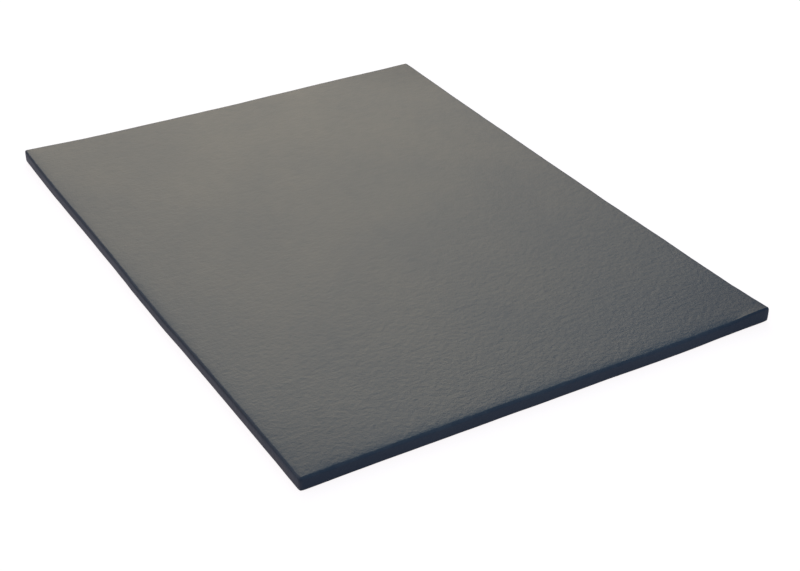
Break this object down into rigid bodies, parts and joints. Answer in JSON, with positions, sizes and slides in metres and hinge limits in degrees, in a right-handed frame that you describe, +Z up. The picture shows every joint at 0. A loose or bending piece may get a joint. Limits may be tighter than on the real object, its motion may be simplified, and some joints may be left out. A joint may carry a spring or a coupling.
{
  "type": "folding gym mat",
  "caption": "Thin rectangular foam mat in a navy vinyl cover, folding in half across its length with the top faces together.",
  "frame": {"origin": "centre of the underside of the open mat, on the fold plane", "axes": "+Z up out of the top face, +Y along the mat's length from the front half to the rear half, X along the fold"},
  "size_m": [0.914, 1.219, 0.025],
  "materials": {
    "cover_vinyl": "satin embossed navy vinyl",
    "foam": "matt closed-cell foam",
    "base_rubber": "matt ribbed non-slip sheet",
    "fold_wall_vinyl": "satin vinyl",
    "hinge_tape": "woven",
    "seam_strip": "satin vinyl",
    "thread": "twisted polyester thread"
  },
  "bodies": {
    "front_panel": {"top_cover_front": "cover_vinyl", "foam_core_front": "foam", "base_sheet_front": "base_rubber", "fold_wall_front": "fold_wall_vinyl", "hinge_tape_front": "hinge_tape", "corner_seams_front": "seam_strip", "base_stitching_front": "thread"},
    "rear_panel": {"top_cover_rear": "cover_vinyl", "foam_core_rear": "foam", "base_sheet_rear": "base_rubber", "fold_wall_rear": "fold_wall_vinyl", "hinge_tape_rear": "hinge_tape", "corner_seams_rear": "seam_strip", "base_stitching_rear": "thread"}
  },
  "joints": [
    {"name": "fold", "type": "hinge", "parent": "front_panel", "child": "rear_panel", "pos_m": [0, 0, 0.027], "axis": [1, 0, 0], "range_deg": [0, 180]}
  ]
}
